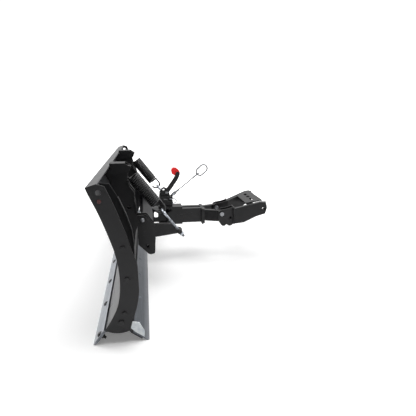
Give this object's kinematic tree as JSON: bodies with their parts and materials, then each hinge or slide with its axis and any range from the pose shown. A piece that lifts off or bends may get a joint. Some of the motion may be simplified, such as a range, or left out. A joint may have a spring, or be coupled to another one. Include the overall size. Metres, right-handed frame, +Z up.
{
  "type": "plow blade",
  "caption": "Front-mounted utility plow blade on a swivelling, spring-tripped push frame with a lift pivot and a wire lift loop.",
  "frame": {"origin": "middle of the cutting edge's flat ground land, 5 mm behind its tip", "axes": "+X towards the blade's right-hand end, -Y forward in the push direction, +Y towards the vehicle, +Z up"},
  "size_m": [1.84, 0.8913, 0.609],
  "materials": {
    "blade_black": "satin black powder coat",
    "frame_black": "satin black powder coat",
    "wear_steel": "plain mill steel",
    "zinc": "bright zinc plate",
    "spring_black": "black coated spring steel",
    "cable_steel": "galvanised",
    "red_plastic": "semi-gloss red"
  },
  "bodies": {
    "mount_frame": {"mount_rails": "frame_black", "mount_ears": "frame_black", "mount_cross_plate": "frame_black", "lift_bolts": "zinc"},
    "push_frame": {"head_plates": "frame_black", "push_channels": "frame_black", "joint_plate": "frame_black", "push_leg_right": "frame_black", "push_leg_left": "frame_black", "joint_bolts": "zinc", "joint_nuts": "zinc", "latch_tower": "frame_black", "kingpin": "zinc", "thrust_washers": "zinc", "hairpin_clip": "zinc", "lever_bolt": "zinc", "lift_pin": "zinc", "lock_spring": "zinc"},
    "lever": {"lock_lever": "frame_black", "lever_grip": "red_plastic"},
    "lock_pin": {"lock_pin": "zinc"},
    "lift_cable": {"lift_cable": "cable_steel"},
    "lift_ring": {"lift_ring": "cable_steel"},
    "swivel_frame": {"cross_tube": "frame_black", "pivot_plates": "frame_black", "pivot_sleeves": "frame_black", "spring_arm_right": "frame_black", "spring_arm_left": "frame_black", "kingpin_sleeve": "frame_black", "swivel_tongue": "frame_black", "sector_plate": "frame_black"},
    "tensioner_right": {"spring_right": "spring_black", "eyebolt_right": "zinc", "trunnion_right": "zinc", "adjuster_nut_right": "zinc"},
    "tensioner_left": {"spring_left": "spring_black", "eyebolt_left": "zinc", "trunnion_left": "zinc", "adjuster_nut_left": "zinc"},
    "blade": {"moldboard": "blade_black", "end_plate_right": "blade_black", "end_plate_left": "blade_black", "end_ribs": "blade_black", "end_plate_bolts": "zinc", "end_plate_nuts": "zinc", "reflectors": "red_plastic", "base_rail": "blade_black", "cutting_edge": "wear_steel", "backdrag_edge": "wear_steel", "backdrag_brackets": "zinc", "edge_bolts": "zinc", "edge_nuts": "zinc", "main_rib_right": "blade_black", "main_rib_left": "blade_black", "spring_brackets": "blade_black", "intermediate_ribs": "blade_black", "spring_pins": "zinc", "pivot_bolts": "zinc", "pivot_nuts": "zinc"}
  },
  "joints": [
    {"name": "lift", "type": "hinge", "parent": "mount_frame", "child": "push_frame", "pos_m": [0, 0.632, 0.276], "axis": [-1, 0, 0], "range_deg": [0, 25]},
    {"name": "swivel", "type": "hinge", "parent": "push_frame", "child": "swivel_frame", "pos_m": [0, 0.343, 0.25], "axis": [0, 0, 1], "range_deg": [-30, 30]},
    {"name": "blade_trip", "type": "hinge", "parent": "swivel_frame", "child": "blade", "pos_m": [0, 0.185, 0.329], "axis": [1, 0, 0], "range_deg": [0, 20], "stiffness_Nm_per_rad": 300, "springref_deg": -28.65, "deforming": ["spring_right", "spring_left"]},
    {"name": "spring_rod_right_turn", "type": "hinge", "parent": "swivel_frame", "child": "tensioner_right", "pos_m": [0.351, 0.3676, 0.25624], "axis": [1, 0, 0], "range_deg": [0, 12]},
    {"name": "spring_rod_left_turn", "type": "hinge", "parent": "swivel_frame", "child": "tensioner_left", "pos_m": [-0.351, 0.3676, 0.25624], "axis": [1, 0, 0], "range_deg": [0, 12]},
    {"name": "lever_pull", "type": "hinge", "parent": "push_frame", "child": "lever", "pos_m": [0, 0.324, 0.392], "axis": [-1, 0, 0], "range_deg": [-17, 0], "deforming": ["lock_spring"]},
    {"name": "lock_pin_drop", "type": "slide", "parent": "push_frame", "child": "lock_pin", "axis": [0, 0, 1], "range_m": [-0.0093, 0]},
    {"name": "lift_cable_swing", "type": "hinge", "parent": "push_frame", "child": "lift_cable", "pos_m": [0, 0.364, 0.379], "axis": [1, 0, 0], "range_deg": [-35, 15]},
    {"name": "lift_ring_swing", "type": "hinge", "parent": "lift_cable", "child": "lift_ring", "pos_m": [0, 0.5055, 0.4925], "axis": [1, 0, 0], "range_deg": [-30, 30]}
  ],
  "couplings": [
    {"joint": "spring_rod_right_turn", "follows": "blade_trip", "ratio": 0.575},
    {"joint": "spring_rod_left_turn", "follows": "blade_trip", "ratio": 0.575},
    {"joint": "lock_pin_drop", "follows": "lever_pull", "m_per_rad": 0.0306}
  ]
}
